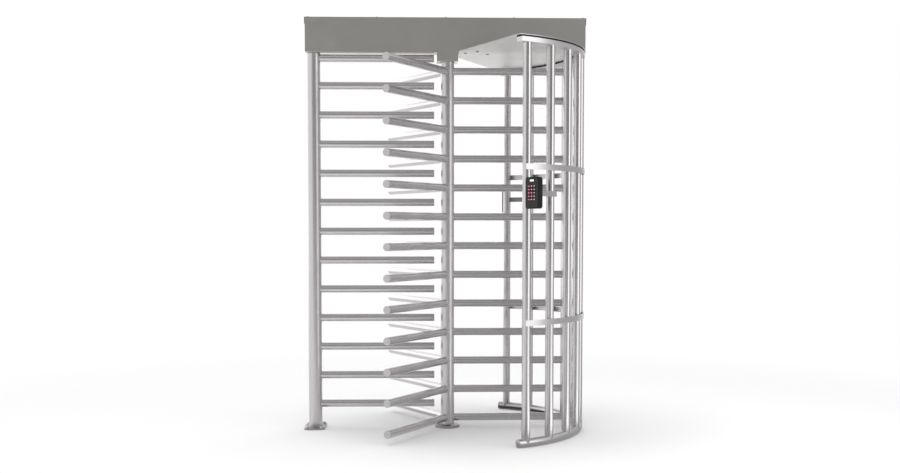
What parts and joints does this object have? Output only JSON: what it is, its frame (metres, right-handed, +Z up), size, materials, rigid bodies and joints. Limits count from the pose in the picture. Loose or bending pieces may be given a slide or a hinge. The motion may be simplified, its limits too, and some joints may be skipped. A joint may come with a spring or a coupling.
{
  "type": "full height turnstile",
  "caption": "Full height turnstile with a three-wing rotor of horizontal arms, a comb of fixed bars, a curved barred cage, a canopy and a header box that holds the locking mechanism.",
  "frame": {"origin": "on the floor, on the rotor's axis, at the middle of the rotor base disc's bolt circle", "axes": "+Z up along the rotor's axis; +X from the rotor towards the barred cage, with the comb on the -X side; people walk through along Y; the front reader stands on the -Y side"},
  "size_m": [1.582, 1.4977, 2.305],
  "materials": {
    "rotor_tube": "satin stainless steel",
    "comb_tube": "satin stainless steel",
    "cage_tube": "satin stainless steel",
    "canopy_sheet": "satin stainless steel sheet",
    "header_sheet": "satin stainless steel sheet",
    "base_metal": "satin stainless steel plate, scuffed",
    "black_rubber": "black strip",
    "zinc_fastener": "bright zinc",
    "reader_case": "black, lightly grained",
    "reader_face": "dark, smooth, with lit digits",
    "reader_lens": "white diffuser",
    "bracket_steel": "mid grey powder coat",
    "zinc_plate": "zinc plated",
    "machined_steel": "turned and ground",
    "cast_housing": "painted casting",
    "bronze": "turned bronze",
    "damper_case": "black",
    "solenoid_case": "dark blue lacquer",
    "box_plastic": "light grey, fine grain"
  },
  "bodies": {
    "frame": {"bearing_box": "header_sheet", "bearing_cover": "cast_housing", "bearing_housing": "cast_housing", "bearing_outer_ring": "machined_steel", "bottom_rail": "cage_tube", "bridge_pillars": "zinc_plate", "bridge_plate": "zinc_plate", "cage_bars": "cage_tube", "canopy_angle": "canopy_sheet", "canopy_plate": "canopy_sheet", "canopy_screws": "zinc_fastener", "canopy_seal": "black_rubber", "comb_bars": "comb_tube", "comb_end_caps": "comb_tube", "comb_post": "comb_tube", "control_box": "box_plastic", "damper_body": "damper_case", "floor_pivot_pin": "machined_steel", "front_reader_housing": "reader_case", "header_housing": "header_sheet", "header_lid": "header_sheet", "lid_screws": "zinc_fastener", "lower_band": "cage_tube", "mechanism_plate": "zinc_plate", "pawl_posts": "zinc_plate", "post_base_plate": "base_metal", "post_gasket": "black_rubber", "post_screws": "zinc_fastener", "post_top_plug": "machined_steel", "power_supply": "box_plastic", "rail_end_caps": "cage_tube", "reader_brackets": "bracket_steel", "reader_panels": "reader_face", "reader_windows": "reader_lens", "rear_reader_housing": "reader_case", "rotor_base_disc": "base_metal", "solenoid_brackets": "zinc_plate", "solenoids": "solenoid_case", "top_rail": "cage_tube", "upper_band": "cage_tube"},
    "rotor": {"rotor_column": "rotor_tube", "column_bottom_plug": "machined_steel", "column_top_plug": "machined_steel", "lower_bush": "bronze", "wing_right": "rotor_tube", "wing_rear_left": "rotor_tube", "wing_front_left": "rotor_tube", "arm_end_caps": "rotor_tube", "rotor_spindle": "machined_steel", "drive_key": "machined_steel", "spindle_spacer": "machined_steel", "lock_wheel": "machined_steel", "drive_gear": "machined_steel", "spindle_nut": "zinc_fastener", "bearing_inner_ring": "machined_steel"},
    "damper_pinion": {"damper_pinion": "machined_steel"},
    "entry_pawl": {"entry_pawl": "machined_steel"},
    "exit_pawl": {"exit_pawl": "machined_steel"},
    "entry_plunger": {"entry_plunger": "machined_steel"},
    "exit_plunger": {"exit_plunger": "machined_steel"}
  },
  "joints": [
    {"name": "rotor_spin", "type": "hinge", "parent": "frame", "child": "rotor", "pos_m": [0, 0, 0.014], "axis": [0, 0, 1], "continuous": true},
    {"name": "damper_spin", "type": "hinge", "parent": "frame", "child": "damper_pinion", "pos_m": [0.06, 0, 2.175], "axis": [0, 0, 1], "continuous": true},
    {"name": "entry_pawl_swing", "type": "hinge", "parent": "frame", "child": "entry_pawl", "pos_m": [0.06, 0.04, 2.158], "axis": [0, 0, -1], "range_deg": [0, 10], "stiffness_Nm_per_rad": 0.5},
    {"name": "exit_pawl_swing", "type": "hinge", "parent": "frame", "child": "exit_pawl", "pos_m": [-0.06, 0.04, 2.158], "axis": [0, 0, 1], "range_deg": [0, 10], "stiffness_Nm_per_rad": 0.5},
    {"name": "entry_plunger_slide", "type": "slide", "parent": "frame", "child": "entry_plunger", "axis": [-1, 0, 0], "range_m": [0, 0.0064]},
    {"name": "exit_plunger_slide", "type": "slide", "parent": "frame", "child": "exit_plunger", "axis": [1, 0, 0], "range_m": [0, 0.0064]}
  ],
  "couplings": [
    {"joint": "damper_spin", "follows": "rotor_spin", "ratio": -3},
    {"joint": "entry_plunger_slide", "follows": "entry_pawl_swing", "m_per_rad": 0.036},
    {"joint": "exit_plunger_slide", "follows": "exit_pawl_swing", "m_per_rad": 0.036}
  ]
}
